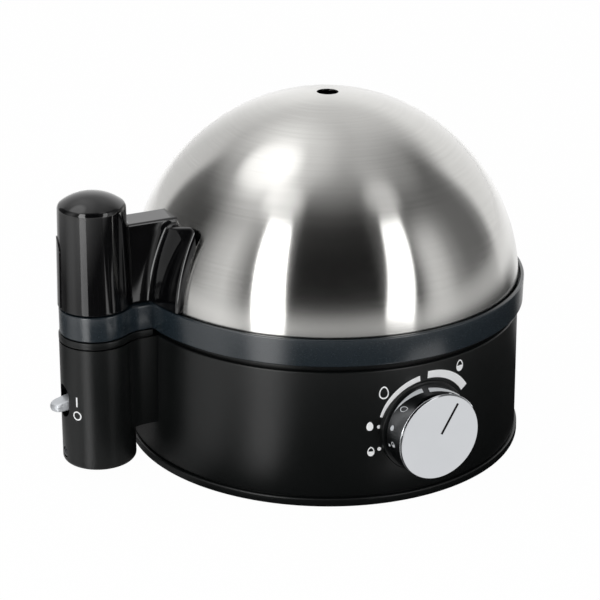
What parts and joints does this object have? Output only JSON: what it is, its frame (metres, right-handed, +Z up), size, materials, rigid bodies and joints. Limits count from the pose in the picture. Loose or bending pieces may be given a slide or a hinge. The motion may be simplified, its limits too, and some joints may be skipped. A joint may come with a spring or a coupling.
{
  "type": "electric egg cooker",
  "caption": "Round egg cooker: black drum with control knob and side switch tower, lift-off egg tray, and brushed steel dome lid on a black side handle.",
  "frame": {"origin": "on the drum's axis, in the plane that the rubber feet stand on", "axes": "+Z up along the drum's axis, -Y towards the control knob, -X towards the switch tower"},
  "size_m": [0.2298, 0.1983, 0.1612],
  "materials": {
    "matt_black_housing": "fine moulded texture",
    "black_floor": "moulded",
    "rubber_black": "matt",
    "silicone_red": "matt",
    "zinc_steel": "zinc plated",
    "dish_steel": "pressed stainless",
    "element_sheath": "heat stained",
    "ceramic_white": null,
    "shield_aluminium": "pressed",
    "spring_steel": "bright",
    "board_green": "solder mask",
    "relay_blue": "moulded",
    "black_part": "moulded",
    "can_steel": "pressed",
    "terminal_white": "moulded",
    "gland_black": "moulded",
    "smoked_lens": "clear moulded",
    "wire_insulation": "insulated wire",
    "slate_tray": "satin moulded",
    "brushed_dome": "satin, brushed round the axis",
    "gloss_black_handle": "polished",
    "handle_plate_black": "moulded",
    "chrome_knob": "plated",
    "hub_black": "moulded",
    "pointer_black": "filled line",
    "silver_lever": "silver"
  },
  "bodies": {
    "base": {"base_housing": "matt_black_housing", "tower_cap": "matt_black_housing", "bottom_cover": "black_floor", "rubber_feet": "rubber_black", "cover_screws": "zinc_steel", "heating_dish": "dish_steel", "dish_seal": "silicone_red", "heating_element": "element_sheath", "element_bushings": "ceramic_white", "dish_studs": "zinc_steel", "heat_shield": "shield_aluminium", "shield_nuts": "zinc_steel", "thermostat": "ceramic_white", "thermostat_holder": "spring_steel", "thermal_fuse": "ceramic_white", "fuse_clip": "spring_steel", "control_board": "board_green", "relay": "relay_blue", "buzzer": "black_part", "potentiometer": "can_steel", "control_nut": "zinc_steel", "terminal_block": "terminal_white", "cord_gland": "gland_black", "gland_nut": "gland_black", "switch_body": "black_part", "switch_pin": "zinc_steel", "lamp_lens": "smoked_lens", "lamp_holder": "black_part", "heater_leads": "wire_insulation", "switch_leads": "wire_insulation", "lamp_lead": "wire_insulation", "control_leads": "wire_insulation"},
    "tray": {"egg_tray": "slate_tray"},
    "lid": {"lid_dome": "brushed_dome", "lid_handle": "gloss_black_handle", "handle_base": "handle_plate_black", "handle_inlay": "gloss_black_handle", "handle_screws": "zinc_steel"},
    "knob": {"knob": "chrome_knob", "knob_hub": "hub_black", "knob_pointer": "pointer_black", "control_shaft": "zinc_steel"},
    "switch": {"switch_lever": "silver_lever"}
  },
  "joints": [
    {"name": "tray_lift", "type": "slide", "parent": "base", "child": "tray", "axis": [0, 0, 1], "range_m": [0, 0.12]},
    {"name": "lid_lift", "type": "slide", "parent": "tray", "child": "lid", "axis": [0, 0, 1], "range_m": [0, 0.12]},
    {"name": "knob_turn", "type": "hinge", "parent": "base", "child": "knob", "pos_m": [0, -0.09761, 0.0345], "axis": [0, 1, 0], "range_deg": [-144, 32]},
    {"name": "switch_tip", "type": "hinge", "parent": "base", "child": "switch", "pos_m": [-0.1206, 0, 0.03635], "axis": [0, 1, 0], "range_deg": [0, 18]}
  ]
}
